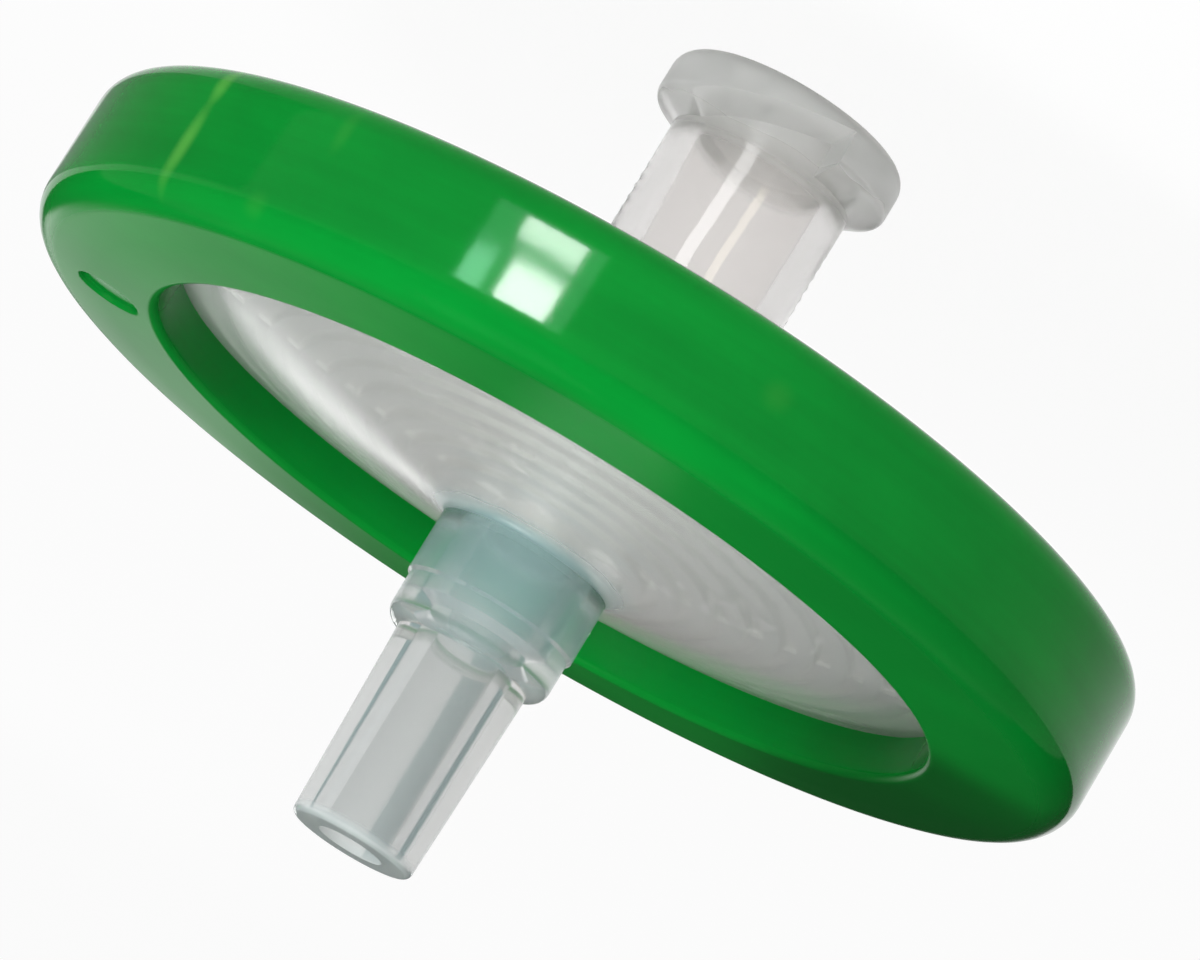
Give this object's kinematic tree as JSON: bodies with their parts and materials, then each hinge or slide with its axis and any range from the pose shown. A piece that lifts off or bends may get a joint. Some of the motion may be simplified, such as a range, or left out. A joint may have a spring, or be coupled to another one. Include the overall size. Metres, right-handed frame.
{
  "type": "syringe filter",
  "caption": "Overmoulded syringe filter: green ring, clear natural housing halves, luer-lock inlet and luer-slip outlet.",
  "frame": {"origin": "centre of the inlet's end face, which the filter stands on", "axes": "+Z along the flow axis, from the luer-lock inlet towards the luer-slip outlet; +X in the plane of the ring, 38 degrees round from the start of the first lug's threaded flank"},
  "size_m": [0.035, 0.035, 0.0255],
  "materials": {
    "green_polypropylene": "moulded, semi-gloss, slightly translucent green",
    "natural_polypropylene": "moulded, glossy, translucent uncoloured",
    "filter_film": "matt white microporous film"
  },
  "bodies": {
    "root": {"overmould_ring": "green_polypropylene", "outlet_housing": "natural_polypropylene", "inlet_housing": "natural_polypropylene", "membrane": "filter_film"}
  },
  "joints": []
}
